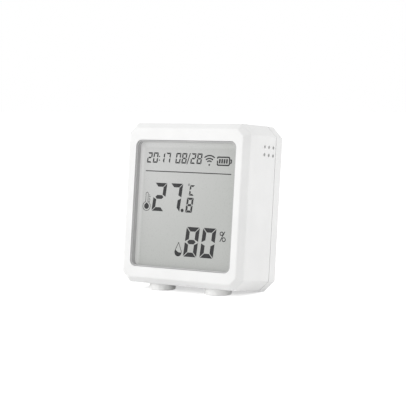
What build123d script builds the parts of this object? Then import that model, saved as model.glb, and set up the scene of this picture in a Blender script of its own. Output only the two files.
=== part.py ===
from build123d import *
from math import cos, pi, radians, sin, sqrt, tan
import os

# A desktop temperature and humidity sensor with a segment screen, in millimetres.
# Every piece is drawn with the case lying on its back: X to the right, Y up the screen,
# Z from the back face (0) to the front face. At the end the case is stood on its two
# front feet and its rear bottom edge, which leans it back.

# Stance
upright = 90.0
lean = 5.8

# Case
case_width = 54.0
case_height = 60.5
case_depth = 24.5
front_bevel = 2.1
bevel_angle = 45.0
corner_cut = 3.8
wall_draft = 2.0
rear_depth = 5.3
wall = 1.7
face_plate = 1.8
rear_wall = 1.5
case_round = 0.9
edge_round = 0.45
rear_round = 0.8
seam_gap = 0.3
lip_reach = 0.8
lip_clearance = 0.1
overrun = 1.0

# Window
window_side = 4.75
window_end = 6.35
window_radius = 2.4
window_drop = 0.2

# Vents in the right wall
vent_diameter = 1.25
vent_pitch = 2.95
vent_columns = 3
vent_rows = 2
vent_rise = 4.55
vent_drop = 9.05

# Feet
foot_diameter = 10.0
foot_side = 14.5
foot_depth = 8.7
foot_recess = 0.35
foot_recess_clearance = 0.15
foot_plug_diameter = 4.0
foot_plug_clearance = 0.05
foot_round = 0.4

# Case screws in the two top corners
boss_side = 4.7
boss_drop = 3.5
boss_diameter = 4.0
boss_clearance = 0.3
screw_diameter = 2.0
screw_clearance = 0.2
thread_clearance = 0.04
screw_length = 8.0
screw_head_diameter = 3.8
screw_head_height = 1.4
screw_seat = 3.0
screw_post_diameter = 5.0
socket_width = 0.6
socket_length = 2.2
socket_depth = 0.8
pilot_spare = 1.0

# Snap hooks along the bottom edge of the back shell
hook_spread = 24.0
hook_width = 5.0
hook_thickness = 1.0
hook_reach = 3.8
barb_height = 0.6
barb_length = 1.2
hook_clearance = 0.15

# Screen stack, from the front face backwards
screen_depth = 2.5
film_thickness = 0.2
glass_thickness = 1.1
guide_thickness = 2.2
pad_thickness = 0.9
glass_margin = 0.8
ledge_height = 2.6
frame_clearance = 0.3
pocket_clearance = 0.1
collar_wall = 0.45
collar_setback = 0.45
film_margin = 0.2
pad_width = 4.5
ledge_bare = 2.0
rubber_thickness = 1.6
rubber_setback = 3.05
led_width = 1.4
led_length = 3.0
led_height = 2.0
led_spread = 20.0
led_clearance = 0.15

# Main board and what holds it
board_thickness = 1.2
board_clearance = 0.5
board_screw_side = 13.0
board_screw_drop = 3.95
board_screw_diameter = 1.4
board_screw_length = 4.6
board_screw_head = 2.6
board_screw_head_height = 0.9
clip_spread = 28.0
clip_width = 4.0
clip_thickness = 0.8
clip_barb = 0.5
clip_barb_length = 0.8
clip_clearance = 0.15

# Battery cells, size AAA at the sizes below, and their box
cell_end_space = 8.0
cell_spacing = 0.7
nub_diameter = 3.8
nub_height = 0.8
cell_edge = 0.4
sleeve_thickness = 0.15
sleeve_setback = 0.6
bay_clearance = 0.2
box_wall = 1.2
box_floor = 0.95
spring_length = 4.0
contact_thickness = 0.4
contact_width_share = 0.82
contact_height = 6.6
bridge_height = 4.4
ridge_height = 1.5
tail_width = 2.0
tail_clearance = 0.2
spring_wire = 0.6
spring_base_share = 0.65
spring_tip_share = 0.34
spring_turns = 3
spring_seat_gap = 0.05
coil_steps = 36

# Battery door
door_thickness = 1.5
door_spare = 0.05
door_gap = 0.25
door_seat = 0.1
ledge_width = 1.35
ledge_thickness = 1.3
door_edge = 0.3
tab_spread_share = 0.57
tab_width = 4.0
tab_thickness = 1.0
tab_reach = 1.5
tab_root = 1.0
tab_slot_clearance = 0.3
tab_slot_rise = 1.2
latch_width = 10.0
latch_length = 9.0
latch_slot = 0.7
latch_bead = 0.2
latch_bead_width = 6.0
grip_ridges = 3
grip_pitch = 1.3
grip_width = 0.6
grip_depth = 0.3
latch_bead_rise = 0.5
latch_bead_height = 0.6
notch_radius = 4.0
notch_depth = 0.9

# Pairing button and its switch
button_y = -8.0
button_diameter = 5.0
button_gap = 0.25
button_setback = 0.3
button_flange = 6.6
button_flange_height = 1.2
button_rod = 3.0
button_travel = 0.5
guide_gap = 0.3
guide_wall = 1.0
guide_length = 5.0
switch_size = 6.0
switch_height = 3.4
switch_corner = 0.5
stem_diameter = 3.4
stem_height = 1.5
stem_clearance = 0.15
stem_depth = 0.9

# Radio module in the lower right of the board
radio_rise = 16.25
radio_clearance = 2.25
radio_length = 20.0
radio_thickness = 0.8
shield_margin = 0.7
shield_length = 12.6
shield_height = 2.0
shield_corner = 0.6
shield_offset = 2.6
pad_notch = 0.5
pad_pitch = 1.6
pad_count = 8

# Climate sensor on its own upright board behind the vents
sensor_side = 5.0
sensor_drop = 5.25
sensor_board_thickness = 0.8
sensor_board_length = 6.5
sensor_board_depth = 8.5
sensor_size = 3.0
sensor_height = 1.0
sensor_port = 1.0
sensor_port_depth = 0.4
pin_size = 0.5
pin_pitch = 1.5
pin_count = 4
pin_length = 2.6
pin_clearance = 0.15
baffle_drop = 17.45
baffle_thickness = 1.0
baffle_clearance = 0.6

# Parts on the rear side of the main board
chip_size = 9.0
chip_height = 1.3
chip_lift = 0.1
chip_y = 6.0
chip_corner = 0.5
leg_width = 0.4
leg_pitch = 0.9
legs_per_side = 8
chip_sides = 4
leg_thickness = 0.25
leg_reach = 1.0
blob_y = -14.0
blob_diameter = 9.0
blob_height = 1.1
crystal_length = 3.2
crystal_width = 2.5
crystal_height = 0.8
crystal_x = -8.0
coil_drop = 20.25
coil_size = 5.0
coil_height = 2.8
coil_corner = 1.2
can_diameter = 5.0
can_height = 5.2
can_base = 1.0
can_drop = 11.25
can_pitch = 6.4
chip_part_length = 1.6
chip_part_width = 0.8
capacitor_height = 0.8
resistor_height = 0.45
chip_part_pitch = 2.4
chip_part_count = 5
post_diameter = 2.4
post_height = 1.7
post_width_share = 0.73
post_length_share = 0.66

# A parallel offset of a straight-cut corner grows the cut by this share of the offset.
cut_share = 2 - sqrt(2)

# Outline sizes that follow from the case
flare = tan(radians(wall_draft)) * (case_depth - rear_depth - front_bevel)
seam_width = case_width + 2 * flare
seam_height = case_height + 2 * flare
seam_cut = corner_cut + cut_share * flare
window_width = case_width - 2 * window_side
window_height = case_height - 2 * window_end
vent_y = case_height / 2 - vent_drop
foot_spread = case_width - 2 * foot_side
boss_x = case_width / 2 - boss_side
boss_y = case_height / 2 - boss_drop
board_screw_x = case_width / 2 - board_screw_side
board_screw_y = case_height / 2 - board_screw_drop

# Heights above the back face, from the named depths
plate_back = case_depth - face_plate
film_front = case_depth - screen_depth
glass_front = film_front - film_thickness
glass_middle = glass_front - glass_thickness
glass_back = glass_middle - glass_thickness
guide_front = glass_back - film_thickness
guide_back = guide_front - guide_thickness
board_front = guide_back - pad_thickness
board_back = board_front - board_thickness
boss_end = rear_depth + lip_reach + lip_clearance

# The screen glass and the frame's pocket for it
window_top = window_height / 2 - window_drop
window_bottom = -window_height / 2 - window_drop
glass_width = window_width + 2 * glass_margin
glass_top = window_top + glass_margin
glass_bottom = window_bottom - ledge_height
glass_height = glass_top - glass_bottom
glass_y = (glass_top + glass_bottom) / 2
rear_glass_bottom = glass_bottom + ledge_bare
rubber_width = glass_width - 2 * rubber_setback
film_width = glass_width - 2 * film_margin
film_height = window_height + 2 * (glass_margin - film_margin)

# The battery box: the cells take the depth that is left behind the main board.
bay_radius = (board_back - post_height - box_floor - door_thickness - door_spare) / 2
cell_radius = bay_radius - bay_clearance
cell_length = case_height - 2 * cell_end_space
cell_pitch = 2 * cell_radius + cell_spacing
cell_z = door_thickness + door_spare + bay_radius
bay_width = cell_pitch + 2 * bay_radius
bay_length = cell_length + spring_length + 2 * contact_thickness
box_width = bay_width + 2 * box_wall
box_length = bay_length + 2 * box_wall
box_front = cell_z + bay_radius + box_floor
contact_face = bay_length / 2 - contact_thickness
contact_width = 2 * cell_radius * contact_width_share
spring_base_diameter = 2 * cell_radius * spring_base_share
spring_tip_diameter = 2 * cell_radius * spring_tip_share
post_spread_x = box_width * post_width_share
post_spread_y = box_length * post_length_share

# The strips of the board beside the box hold the button, the power parts and the radio.
strip_width = case_width / 2 - wall - box_width / 2
strip_x = box_width / 2 + strip_width / 2
button_x = -strip_x
radio_y = radio_rise - case_height / 2
radio_width = strip_width - radio_clearance
shield_width = radio_width - 2 * shield_margin
coil_y = case_height / 2 - coil_drop
can_y = case_height / 2 - can_drop

# The battery door fills the opening over the box; its tabs hook under the bottom edge.
door_bottom = -box_length / 2
tab_spread = box_width * tab_spread_share
ledge_front = door_thickness + door_seat + ledge_thickness
tab_back = rear_wall + door_seat
tab_front = tab_back + tab_thickness

# The snap hooks stand just inside the front shell's bottom wall.
hook_tip = rear_depth + hook_reach
hook_root = -(seam_height / 2 - wall)
hook_back = hook_root + hook_clearance + tan(radians(wall_draft)) * hook_reach
hook_catch = hook_tip - barb_length


def cut_rectangle(plane, width, height, corner):
    """Sketches a rectangle with straight-cut corners on a plane."""
    with BuildSketch(plane) as outline:
        Rectangle(width, height)
        chamfer(outline.vertices(), corner)
    return outline.sketch


def inside_case(inset):
    """Gives the width, height and corner cut of the seam outline drawn in by an inset."""
    return seam_width - 2 * inset, seam_height - 2 * inset, seam_cut - cut_share * inset


def inside_front(inset):
    """Gives the same for the narrowest section of the front shell's walls."""
    return case_width - 2 * inset, case_height - 2 * inset, corner_cut - cut_share * inset


def at_height(height, x=0, y=0):
    """Gives the plane parallel to the back face at a height, centred on x, y."""
    return Plane(origin=(x, y, height))


# Front shell: drafted walls, a bevelled face with the window, and the vents.
with BuildPart() as front_shell:
    outer = cut_rectangle(at_height(rear_depth), *inside_case(0))
    extrude(outer, amount=case_depth - rear_depth - front_bevel, taper=wall_draft)
    extrude(front_shell.faces().sort_by(Axis.Z)[-1], amount=front_bevel, taper=bevel_angle)
    fillet(front_shell.edges().filter_by(lambda e: e.center().Z > rear_depth), case_round)

    hollow = cut_rectangle(at_height(rear_depth), *inside_case(wall))
    extrude(hollow, amount=plate_back - rear_depth, taper=wall_draft, mode=Mode.SUBTRACT)
    rebate = cut_rectangle(at_height(rear_depth), *inside_case(wall / 2))
    extrude(rebate, amount=lip_reach + lip_clearance, mode=Mode.SUBTRACT)

    with BuildSketch(at_height(plate_back, 0, -window_drop)):
        RectangleRounded(window_width, window_height, window_radius)
    extrude(amount=face_plate, mode=Mode.SUBTRACT)

    # The two screw bosses run from the face plate into the top corners.
    with BuildSketch(at_height(boss_end)) as bosses:
        with Locations((-boss_x, boss_y), (boss_x, boss_y)):
            Circle(boss_diameter / 2)
    extrude(amount=plate_back - boss_end + face_plate / 2)
    with Locations(at_height(boss_end)):
        with Locations((-boss_x, boss_y), (boss_x, boss_y)):
            Cylinder(
                screw_diameter / 2 + thread_clearance,
                screw_length - (boss_end - screw_seat) + pilot_spare,
                align=(Align.CENTER, Align.CENTER, Align.MIN),
                mode=Mode.SUBTRACT,
            )

    with BuildSketch(Plane.YZ.offset(case_width / 2 - wall - overrun)):
        with Locations((vent_y, rear_depth + vent_rise)):
            with GridLocations(vent_pitch, vent_pitch, vent_rows, vent_columns):
                Circle(vent_diameter / 2)
    extrude(amount=wall + flare + 2 * overrun, mode=Mode.SUBTRACT)

    # Each foot sits in a shallow recess with its plug through the bottom wall.
    with BuildSketch(Plane.XZ.offset(case_height / 2 - foot_recess)):
        with Locations((0, case_depth - foot_depth)):
            with GridLocations(foot_spread, 0, 2, 1):
                Circle(foot_diameter / 2 + foot_recess_clearance)
    extrude(amount=foot_recess + flare + overrun, mode=Mode.SUBTRACT)
    with BuildSketch(Plane.XZ.offset(case_height / 2 - wall - overrun)):
        with Locations((0, case_depth - foot_depth)):
            with GridLocations(foot_spread, 0, 2, 1):
                Circle(foot_plug_diameter / 2 + foot_plug_clearance)
    extrude(amount=wall + overrun, mode=Mode.SUBTRACT)

    # Pockets in the bottom wall take the barbs of the back shell's hooks.
    with BuildSketch(Plane.XY.offset(hook_catch - hook_clearance)):
        with Locations((0, hook_back - barb_height / 2)):
            with GridLocations(hook_spread, 0, 2, 1):
                Rectangle(hook_width + 2 * hook_clearance, barb_height + 2 * hook_clearance)
    extrude(amount=barb_length + 2 * hook_clearance, mode=Mode.SUBTRACT)


# Back shell: the rear cap with its lip, the battery box, screw posts and snap hooks.
with BuildPart() as back_shell:
    cap = cut_rectangle(at_height(0), *inside_case(0))
    extrude(cap, amount=rear_depth - seam_gap)
    fillet(back_shell.edges().filter_by(Axis.Z), case_round)
    fillet(back_shell.faces().sort_by(Axis.Z)[0].edges(), rear_round)
    lip = cut_rectangle(at_height(rear_wall), *inside_case(wall / 2 + lip_clearance))
    extrude(lip, amount=rear_depth + lip_reach - rear_wall)
    hollow = cut_rectangle(at_height(rear_wall), *inside_case(wall))
    extrude(hollow, amount=rear_depth + lip_reach, mode=Mode.SUBTRACT)

    with BuildSketch(at_height(rear_wall / 2)):
        Rectangle(box_width, box_length)
    extrude(amount=box_front - rear_wall / 2)
    with BuildSketch(at_height(rear_wall / 2)):
        Rectangle(box_width + 2 * ledge_width, box_length + 2 * ledge_width)
    extrude(amount=ledge_front - rear_wall / 2)

    # A rib keeps the warmth of the electronics away from the climate sensor.
    baffle_end = case_width / 2 - wall - baffle_clearance
    baffle_y = case_height / 2 - baffle_drop
    with BuildSketch(at_height(rear_wall / 2, (box_width / 2 + baffle_end) / 2, baffle_y)):
        Rectangle(baffle_end - box_width / 2 + box_wall / 2, baffle_thickness)
    extrude(amount=board_back - baffle_clearance - rear_wall / 2)

    with BuildSketch(at_height(0)):
        Rectangle(box_width + 2 * door_gap, box_length + 2 * door_gap)
    extrude(amount=door_thickness + door_seat, mode=Mode.SUBTRACT)
    with BuildSketch(at_height(0)):
        Rectangle(bay_width, bay_length)
    extrude(amount=cell_z + ridge_height, mode=Mode.SUBTRACT)
    with BuildSketch(Plane.XZ.offset(-bay_length / 2)):
        with Locations((0, cell_z)):
            with GridLocations(cell_pitch, 0, 2, 1):
                Circle(bay_radius)
    extrude(amount=bay_length, mode=Mode.SUBTRACT)

    # Slots for the tails of the two upper contacts.
    with BuildSketch(at_height(cell_z)):
        with Locations((0, contact_face + contact_thickness / 2)):
            with GridLocations(cell_pitch, 0, 2, 1):
                Rectangle(tail_width + 2 * tail_clearance, contact_thickness)
    extrude(amount=box_front - cell_z, mode=Mode.SUBTRACT)

    # Slots behind the opening's bottom edge give the door tabs room to swing.
    with BuildSketch(at_height(rear_wall, 0, door_bottom)):
        with GridLocations(tab_spread, 0, 2, 1):
            with Locations((0, (box_wall - tab_reach - tab_slot_clearance) / 2)):
                Rectangle(
                    tab_width + 2 * tab_slot_clearance,
                    box_wall + tab_reach + tab_slot_clearance,
                )
    extrude(amount=tab_front - rear_wall + tab_slot_rise, mode=Mode.SUBTRACT)

    # A fingertip scoop above the latch.
    with BuildSketch(at_height(0, 0, box_length / 2)):
        Circle(notch_radius)
    extrude(amount=notch_depth, mode=Mode.SUBTRACT)

    # Counterbored posts carry the case screws.
    with BuildSketch(at_height(rear_wall / 2)):
        with Locations((-boss_x, boss_y), (boss_x, boss_y)):
            Circle(screw_post_diameter / 2)
    extrude(amount=boss_end - rear_wall / 2)
    with Locations(at_height(0)):
        with Locations((-boss_x, boss_y), (boss_x, boss_y)):
            Cylinder(
                screw_head_diameter / 2 + screw_clearance,
                screw_seat,
                align=(Align.CENTER, Align.CENTER, Align.MIN),
                mode=Mode.SUBTRACT,
            )
            Cylinder(
                screw_diameter / 2 + screw_clearance,
                boss_end,
                align=(Align.CENTER, Align.CENTER, Align.MIN),
                mode=Mode.SUBTRACT,
            )

    # A tube guides the flange of the pairing button.
    with BuildSketch(at_height(rear_wall / 2, button_x, button_y)):
        Circle(button_flange / 2 + guide_gap + guide_wall)
    extrude(amount=guide_length + rear_wall / 2)
    with BuildSketch(at_height(rear_wall, button_x, button_y)):
        Circle(button_flange / 2 + guide_gap)
    extrude(amount=guide_length, mode=Mode.SUBTRACT)
    with BuildSketch(at_height(0, button_x, button_y)):
        Circle(button_diameter / 2 + button_gap)
    extrude(amount=rear_wall, mode=Mode.SUBTRACT)

    # Short posts on the box press the main board against the screen frame.
    with BuildSketch(at_height(box_front - box_floor / 2)):
        with GridLocations(post_spread_x, post_spread_y, 2, 2):
            Circle(post_diameter / 2)
    extrude(amount=post_height + box_floor / 2)

    with BuildSketch(Plane.YZ.offset(-hook_spread / 2)):
        with BuildLine():
            Polyline(
                (hook_root - wall / 4, rear_wall / 2),
                (hook_back + hook_thickness, rear_wall / 2),
                (hook_back + hook_thickness, hook_tip),
                (hook_back, hook_tip),
                (hook_back - barb_height, hook_tip - barb_length / 2),
                (hook_back - barb_height, hook_catch),
                (hook_back, hook_catch),
                (hook_back, rear_depth - seam_gap),
                (hook_root - wall / 4, rear_depth - seam_gap),
                close=True,
            )
        make_face()
    hook = extrude(amount=hook_width / 2, both=True)
    mirror(hook, about=Plane.YZ)

# Battery door: a flush plate with two hooked tabs and a spring latch tongue.
with BuildPart() as battery_door:
    with BuildSketch(at_height(0)):
        Rectangle(box_width, box_length)
    extrude(amount=door_thickness)
    chamfer(battery_door.faces().sort_by(Axis.Z)[0].edges(), door_edge)
    with BuildSketch(Plane.YZ.offset(-tab_spread / 2)):
        with BuildLine():
            Polyline(
                (door_bottom, door_thickness / 2),
                (door_bottom + tab_root, door_thickness / 2),
                (door_bottom + tab_root, tab_front),
                (door_bottom - tab_reach, tab_front),
                (door_bottom - tab_reach, tab_back),
                (door_bottom, tab_back),
                close=True,
            )
        make_face()
    tab = extrude(amount=tab_width / 2, both=True)
    mirror(tab, about=Plane.YZ)
    with BuildSketch(at_height(0, 0, box_length / 2 - latch_length / 2)):
        with GridLocations(latch_width + latch_slot, 0, 2, 1):
            Rectangle(latch_slot, latch_length)
    extrude(amount=door_thickness, mode=Mode.SUBTRACT)
    with BuildSketch(at_height(latch_bead_rise, 0, box_length / 2)):
        Rectangle(latch_bead_width, 2 * latch_bead)
    extrude(amount=latch_bead_height)
    with BuildSketch(at_height(0, 0, box_length / 2 - latch_length / 2)):
        with GridLocations(0, grip_pitch, 1, grip_ridges):
            Rectangle(latch_bead_width, grip_width)
    extrude(amount=grip_depth, mode=Mode.SUBTRACT)

# Feet: a pad cut level with the table, on a plug that fills the hole in the wall.
floor_y = -seam_height / 2 + rear_round - rear_round * cos(radians(lean))
floor_z = rear_round - rear_round * sin(radians(lean))
table = Plane(
    origin=(0, floor_y, floor_z),
    x_dir=(1, 0, 0),
    z_dir=(0, -cos(radians(lean)), -sin(radians(lean))),
)
foot_z = case_depth - foot_depth
feet = []
for side in (-1, 1):
    seat = Plane.XZ.offset(case_height / 2 - foot_recess)
    with BuildPart() as foot:
        with BuildSketch(seat):
            with Locations((side * foot_spread / 2, foot_z)):
                Circle(foot_diameter / 2)
        extrude(amount=foot_diameter)
        split(bisect_by=table, keep=Keep.BOTTOM)
        fillet(foot.edges().sort_by(Axis.Y)[0], foot_round)
        with BuildSketch(seat):
            with Locations((side * foot_spread / 2, foot_z)):
                Circle(foot_plug_diameter / 2)
        extrude(amount=foot_recess - wall)
    feet.append(foot)
foot_left, foot_right = feet

# Pairing button: a cap in the back wall, a flange behind it and a rod to the switch.
rod_tip = board_back - switch_height - stem_height
with BuildPart() as pair_button:
    with BuildSketch(at_height(button_setback, button_x, button_y)):
        Circle(button_diameter / 2)
    extrude(amount=rear_wall + door_seat - button_setback)
    fillet(pair_button.edges().sort_by(Axis.Z)[0], edge_round)
    with BuildSketch(at_height(rear_wall + door_seat, button_x, button_y)):
        Circle(button_flange / 2)
    extrude(amount=button_flange_height)
    with BuildSketch(at_height(rear_wall + door_seat, button_x, button_y)):
        Circle(button_rod / 2)
    extrude(amount=rod_tip - rear_wall - door_seat)

# Its switch stands on the main board, with the stem free to sink into the body.
with BuildPart() as button_switch:
    with BuildSketch(at_height(board_back - switch_height, button_x, button_y)):
        Rectangle(switch_size, switch_size)
    extrude(amount=switch_height)
    fillet(button_switch.edges().filter_by(Axis.Z), switch_corner)
    with BuildSketch(at_height(board_back - switch_height, button_x, button_y)):
        Circle(stem_diameter / 2 + stem_clearance)
    extrude(amount=stem_depth + button_travel + stem_clearance, mode=Mode.SUBTRACT)

with BuildPart() as switch_stem:
    with BuildSketch(at_height(rod_tip, button_x, button_y)):
        Circle(stem_diameter / 2)
    extrude(amount=stem_height + stem_depth)

# Screen frame: a ring round the glass whose collar lines the window.
with BuildPart() as lcd_frame:
    ring = cut_rectangle(at_height(board_front), *inside_front(wall + frame_clearance))
    extrude(ring, amount=plate_back - board_front)
    with BuildSketch(at_height(plate_back - face_plate / 2, 0, -window_drop)):
        RectangleRounded(
            window_width - 2 * pocket_clearance,
            window_height - 2 * pocket_clearance,
            window_radius - pocket_clearance,
        )
    extrude(amount=case_depth - collar_setback - plate_back + face_plate / 2)
    with BuildSketch(at_height(board_front, 0, glass_y)):
        Rectangle(glass_width + 2 * pocket_clearance, glass_height + 2 * pocket_clearance)
    extrude(amount=film_front - board_front, mode=Mode.SUBTRACT)
    collar_inset = pocket_clearance + collar_wall
    with BuildSketch(at_height(board_front, 0, -window_drop)):
        RectangleRounded(
            window_width - 2 * collar_inset,
            window_height - 2 * collar_inset,
            window_radius - collar_inset,
        )
    extrude(amount=case_depth - board_front, mode=Mode.SUBTRACT)
    with BuildSketch(at_height(board_front)):
        with Locations((-boss_x, boss_y), (boss_x, boss_y)):
            Circle(boss_diameter / 2 + boss_clearance)
    extrude(amount=plate_back - board_front, mode=Mode.SUBTRACT)
    with BuildSketch(at_height(board_front)):
        with Locations((-board_screw_x, board_screw_y), (board_screw_x, board_screw_y)):
            Circle(board_screw_diameter / 2 + thread_clearance)
    extrude(amount=board_screw_length - board_thickness + thread_clearance, mode=Mode.SUBTRACT)

    # Two legs pass the board's lower edge and catch it from behind.
    clip_outer = -(case_height / 2 - wall - frame_clearance)
    clip_inner = clip_outer + clip_thickness
    with BuildSketch(Plane.YZ.offset(-clip_spread / 2)):
        with BuildLine():
            Polyline(
                (clip_outer, board_front + board_thickness),
                (clip_outer, board_back - clip_barb_length),
                (clip_inner, board_back - clip_barb_length),
                (clip_inner + clip_barb, board_back - clip_barb_length / 4),
                (clip_inner + clip_barb, board_back),
                (clip_inner, board_back),
                (clip_inner, board_front + board_thickness),
                close=True,
            )
        make_face()
    clip = extrude(amount=clip_width / 2, both=True)
    mirror(clip, about=Plane.YZ)

# Screen glass, its films, the light guide and what presses them together.
with BuildPart() as lcd_front_film:
    with BuildSketch(at_height(glass_front, 0, -window_drop)):
        Rectangle(film_width, film_height)
    extrude(amount=film_thickness)

with BuildPart() as lcd_front_glass:
    with BuildSketch(at_height(glass_middle, 0, glass_y)):
        Rectangle(glass_width, glass_height)
    extrude(amount=glass_thickness)

with BuildPart() as lcd_rear_glass:
    with BuildSketch(at_height(glass_back, 0, (glass_top + rear_glass_bottom) / 2)):
        Rectangle(glass_width, glass_top - rear_glass_bottom)
    extrude(amount=glass_thickness)

with BuildPart() as lcd_rear_film:
    with BuildSketch(at_height(guide_front, 0, -window_drop)):
        Rectangle(film_width, film_height)
    extrude(amount=film_thickness)

guide_width = film_width - led_width - 2 * led_clearance
guide_x = (guide_width - film_width) / 2
with BuildPart() as light_guide:
    with BuildSketch(at_height(guide_back, guide_x, -window_drop)):
        Rectangle(guide_width, film_height)
    extrude(amount=guide_thickness)

with BuildPart() as backlight_leds:
    led_x = film_width / 2 - led_width / 2
    with BuildSketch(at_height(board_front, led_x, -window_drop)):
        with GridLocations(0, led_spread, 1, 2):
            Rectangle(led_width, led_length)
    extrude(amount=led_height)

with BuildPart() as foam_pad:
    with BuildSketch(at_height(board_front, guide_x, -window_drop)):
        Rectangle(guide_width, film_height)
        Rectangle(guide_width - 2 * pad_width, film_height - 2 * pad_width, mode=Mode.SUBTRACT)
    extrude(amount=pad_thickness)

with BuildPart() as contact_rubber:
    with BuildSketch(at_height(board_front, 0, glass_bottom + ledge_bare / 2)):
        Rectangle(rubber_width, rubber_thickness)
    extrude(amount=glass_middle - board_front)
    fillet(contact_rubber.edges().filter_by(Axis.X), edge_round)

# Main board, with notches for the bosses and clips and holes for what passes through.
sensor_face = case_width / 2 - sensor_side
pin_x = sensor_face - sensor_board_thickness - pin_size / 2
with BuildPart() as main_board:
    plate = cut_rectangle(at_height(board_back), *inside_front(wall + board_clearance))
    extrude(plate, amount=board_thickness)
    with BuildSketch(at_height(board_back)):
        with Locations((-boss_x, boss_y), (boss_x, boss_y)):
            Circle(boss_diameter / 2 + boss_clearance)
        with Locations((-board_screw_x, board_screw_y), (board_screw_x, board_screw_y)):
            Circle(board_screw_diameter / 2 + screw_clearance)
        with Locations((0, clip_outer + clip_thickness / 2)):
            with GridLocations(clip_spread, 0, 2, 1):
                Rectangle(clip_width + 2 * clip_clearance, clip_thickness + 2 * clip_clearance)
        with Locations((0, contact_face + contact_thickness / 2)):
            with GridLocations(cell_pitch, 0, 2, 1):
                Rectangle(tail_width + 2 * tail_clearance, contact_thickness + 2 * tail_clearance)
        with Locations((pin_x, vent_y)):
            with GridLocations(0, pin_pitch, 1, pin_count):
                Circle(pin_size / 2 + 2 * pin_clearance)
    extrude(amount=board_thickness, mode=Mode.SUBTRACT)

with BuildPart() as board_screws:
    with BuildSketch(at_height(board_back - board_screw_head_height)):
        with Locations((-board_screw_x, board_screw_y), (board_screw_x, board_screw_y)):
            Circle(board_screw_head / 2)
    extrude(amount=board_screw_head_height)
    with BuildSketch(at_height(board_back)):
        with Locations((-board_screw_x, board_screw_y), (board_screw_x, board_screw_y)):
            Circle(board_screw_diameter / 2)
    extrude(amount=board_screw_length)

with BuildPart() as case_screws:
    with BuildSketch(at_height(screw_seat - screw_head_height)):
        with Locations((-boss_x, boss_y), (boss_x, boss_y)):
            Circle(screw_head_diameter / 2)
    extrude(amount=screw_head_height)
    with BuildSketch(at_height(screw_seat)):
        with Locations((-boss_x, boss_y), (boss_x, boss_y)):
            Circle(screw_diameter / 2)
    extrude(amount=screw_length)
    with BuildSketch(at_height(screw_seat - screw_head_height)):
        with Locations((-boss_x, boss_y), (boss_x, boss_y)):
            Rectangle(socket_length, socket_width)
            Rectangle(socket_width, socket_length)
    extrude(amount=socket_depth, mode=Mode.SUBTRACT)

# Radio module: a small board with half-round edge pads, under a metal can.
with BuildPart() as radio_board:
    with BuildSketch(at_height(board_back - radio_thickness, strip_x, radio_y)):
        Rectangle(radio_width, radio_length)
        with GridLocations(radio_width, pad_pitch, 2, pad_count):
            Circle(pad_notch / 2, mode=Mode.SUBTRACT)
    extrude(amount=radio_thickness)

with BuildPart() as radio_shield:
    can_front = board_back - radio_thickness
    with BuildSketch(at_height(can_front - shield_height, strip_x, radio_y + shield_offset)):
        RectangleRounded(shield_width, shield_length, shield_corner)
    extrude(amount=shield_height)
    fillet(radio_shield.faces().sort_by(Axis.Z)[0].edges(), shield_corner / 2)

# Climate sensor: an upright board on the main board, facing the vents.
sensor_z = board_back - sensor_drop
with BuildPart() as sensor_board:
    board_low = board_back - sensor_board_depth
    with BuildSketch(Plane.YZ.offset(sensor_face - sensor_board_thickness)):
        with Locations((vent_y, (board_back + board_low) / 2)):
            Rectangle(sensor_board_length, sensor_board_depth)
    extrude(amount=sensor_board_thickness)

with BuildPart() as climate_sensor:
    with BuildSketch(Plane.YZ.offset(sensor_face)):
        with Locations((vent_y, sensor_z)):
            Rectangle(sensor_size, sensor_size)
    extrude(amount=sensor_height)
    with BuildSketch(Plane.YZ.offset(sensor_face + sensor_height - sensor_port_depth)):
        with Locations((vent_y, sensor_z)):
            Circle(sensor_port / 2)
    extrude(amount=sensor_port_depth, mode=Mode.SUBTRACT)

with BuildPart() as sensor_pins:
    with BuildSketch(at_height(board_front - board_thickness - pin_length, pin_x, vent_y)):
        with GridLocations(0, pin_pitch, 1, pin_count):
            Rectangle(pin_size, pin_size)
    extrude(amount=board_thickness + pin_length)

# Controller chip with its legs, the screen driver under its resin drop, and the crystal.
chip_back = board_back - chip_lift - chip_height
with BuildPart() as controller_chip:
    with BuildSketch(at_height(chip_back, 0, chip_y)):
        RectangleRounded(chip_size, chip_size, chip_corner)
    extrude(amount=chip_height)

with BuildPart() as leg:
    with BuildSketch(Plane.XZ):
        with BuildLine():
            Polyline(
                (chip_size / 2, chip_back + chip_height / 2),
                (chip_size / 2 + leg_thickness, chip_back + chip_height / 2),
                (chip_size / 2 + leg_thickness, board_back - leg_thickness),
                (chip_size / 2 + leg_reach, board_back - leg_thickness),
                (chip_size / 2 + leg_reach, board_back),
                (chip_size / 2, board_back),
                close=True,
            )
        make_face()
    extrude(amount=leg_width / 2, both=True)

with BuildPart() as controller_legs:
    with Locations((0, chip_y)):
        with PolarLocations(0, chip_sides):
            with GridLocations(0, leg_pitch, 1, legs_per_side):
                add(leg.part)

with BuildPart() as driver_blob:
    with BuildSketch(at_height(board_back - blob_height, 0, blob_y)):
        Circle(blob_diameter / 2)
    extrude(amount=blob_height)
    fillet(driver_blob.edges().sort_by(Axis.Z)[0], blob_height - chip_lift)

with BuildPart() as crystal_can:
    with BuildSketch(at_height(board_back - crystal_height, crystal_x, chip_y)):
        RectangleRounded(crystal_width, crystal_length, chip_corner)
    extrude(amount=crystal_height)

# Power parts in the left strip of the board and the small chip parts round the chip.
with BuildPart() as power_coil:
    with BuildSketch(at_height(board_back - coil_height, -strip_x, coil_y)):
        Rectangle(coil_size, coil_size)
    extrude(amount=coil_height)
    chamfer(power_coil.edges().filter_by(Axis.Z), coil_corner)

with BuildPart() as storage_cans:
    with BuildSketch(at_height(board_back - can_base, -strip_x, can_y)):
        with GridLocations(0, can_pitch, 1, 2):
            Rectangle(can_diameter, can_diameter)
    extrude(amount=can_base)
    with BuildSketch(at_height(board_back - can_height, -strip_x, can_y)):
        with GridLocations(0, can_pitch, 1, 2):
            Circle(can_diameter / 2)
    extrude(amount=can_height - can_base)

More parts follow.
